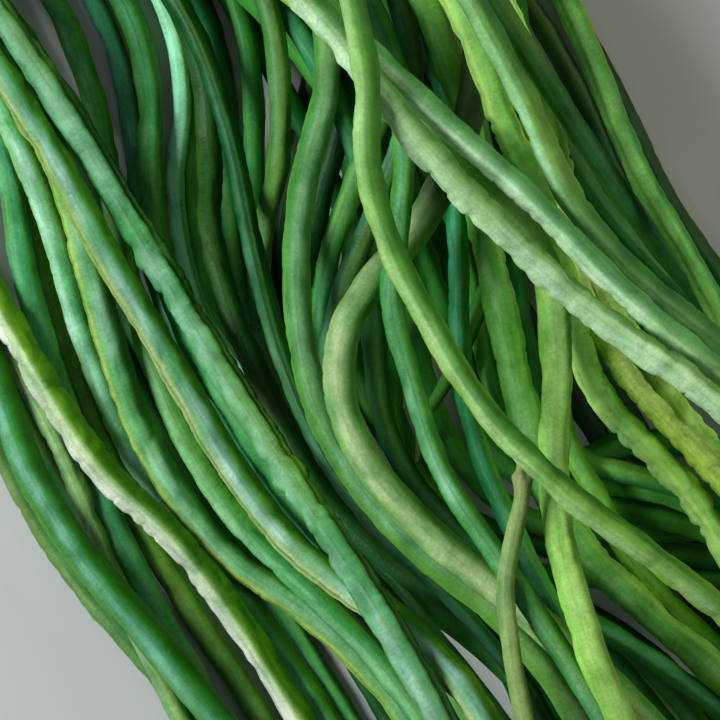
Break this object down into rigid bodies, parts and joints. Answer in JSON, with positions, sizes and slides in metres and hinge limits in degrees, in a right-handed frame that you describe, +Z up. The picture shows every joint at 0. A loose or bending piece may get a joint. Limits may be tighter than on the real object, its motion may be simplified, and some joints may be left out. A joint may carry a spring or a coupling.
{
  "type": "yardlong bean bunch",
  "caption": "Loose heap of long, slender green bean pods lying side by side, with cut stalks at one end and thin beaks at the other.",
  "frame": {"origin": "middle of the bunch's outline seen from above, on the table that it lies on", "axes": "+X along the pods from their cut stalks towards their beaks, +Y across the bunch, +Z up"},
  "size_m": [0.5164, 0.206, 0.0919],
  "materials": {
    "deep_green": "satin, waxy bean skin",
    "fresh_green": "satin, waxy bean skin",
    "pale_green": "satin, waxy bean skin",
    "yellow_green": "satin, waxy bean skin",
    "pale_stalk": "satin, waxy bean skin"
  },
  "bodies": {
    "root": {"pod_01": "deep_green", "pod_02": "deep_green", "pod_03": "deep_green", "pod_04": "deep_green", "pod_05": "deep_green", "pod_06": "deep_green", "pod_07": "deep_green", "pod_08": "fresh_green", "pod_09": "deep_green", "pod_10": "deep_green", "pod_11": "fresh_green", "pod_12": "fresh_green", "pod_13": "fresh_green", "pod_14": "deep_green", "pod_15": "deep_green", "pod_16": "deep_green", "pod_17": "deep_green", "pod_18": "yellow_green", "pod_19": "pale_green", "pod_20": "deep_green", "pod_21": "deep_green", "pod_22": "fresh_green", "pod_23": "fresh_green", "pod_24": "pale_green", "pod_25": "pale_green", "pod_26": "pale_green", "pod_27": "deep_green", "pod_28": "deep_green", "pod_29": "deep_green", "pod_30": "fresh_green", "pod_31": "pale_green", "pod_32": "fresh_green", "pod_33": "deep_green", "pod_34": "deep_green", "pod_35": "yellow_green", "pod_36": "yellow_green", "pod_37": "yellow_green", "pod_38": "yellow_green", "pod_39": "fresh_green", "pod_40": "pale_green", "pod_41": "pale_green", "pod_42": "fresh_green", "pod_43": "fresh_green", "pod_44": "pale_green", "pod_45": "pale_green", "pod_46": "fresh_green", "pod_47": "pale_stalk", "pod_48": "yellow_green", "pod_49": "yellow_green", "pod_50": "yellow_green", "pod_51": "pale_green", "pod_52": "fresh_green", "pod_53": "pale_green", "pod_54": "pale_green", "pod_55": "pale_green", "pod_56": "pale_green", "pod_57": "pale_green", "pod_58": "pale_green", "pod_59": "deep_green", "pod_60": "deep_green"}
  },
  "joints": []
}
